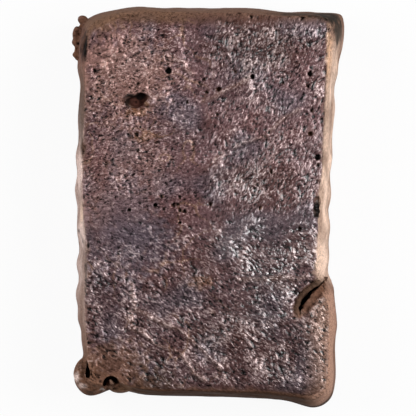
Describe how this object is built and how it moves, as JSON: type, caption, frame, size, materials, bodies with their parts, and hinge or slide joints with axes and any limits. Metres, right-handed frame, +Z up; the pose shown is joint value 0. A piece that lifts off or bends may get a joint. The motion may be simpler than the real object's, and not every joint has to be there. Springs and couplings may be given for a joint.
{
  "type": "copper ingot",
  "caption": "Hand-poured copper ingot, a flat oblong block with sloping rippled walls, a rough oxidised face and a cold shut at one edge.",
  "frame": {"origin": "centre of the bounding box's base, on the foot that the ingot lies on", "axes": "+Y along the length, +X across the width, +Z up through the thickness"},
  "size_m": [0.0822, 0.1205, 0.0249],
  "materials": {
    "oxidised_copper": "cast copper with a dark purple-brown oxide skin, bare copper on the ridges and walls"
  },
  "bodies": {
    "root": {"copper_ingot": "oxidised_copper"}
  },
  "joints": []
}
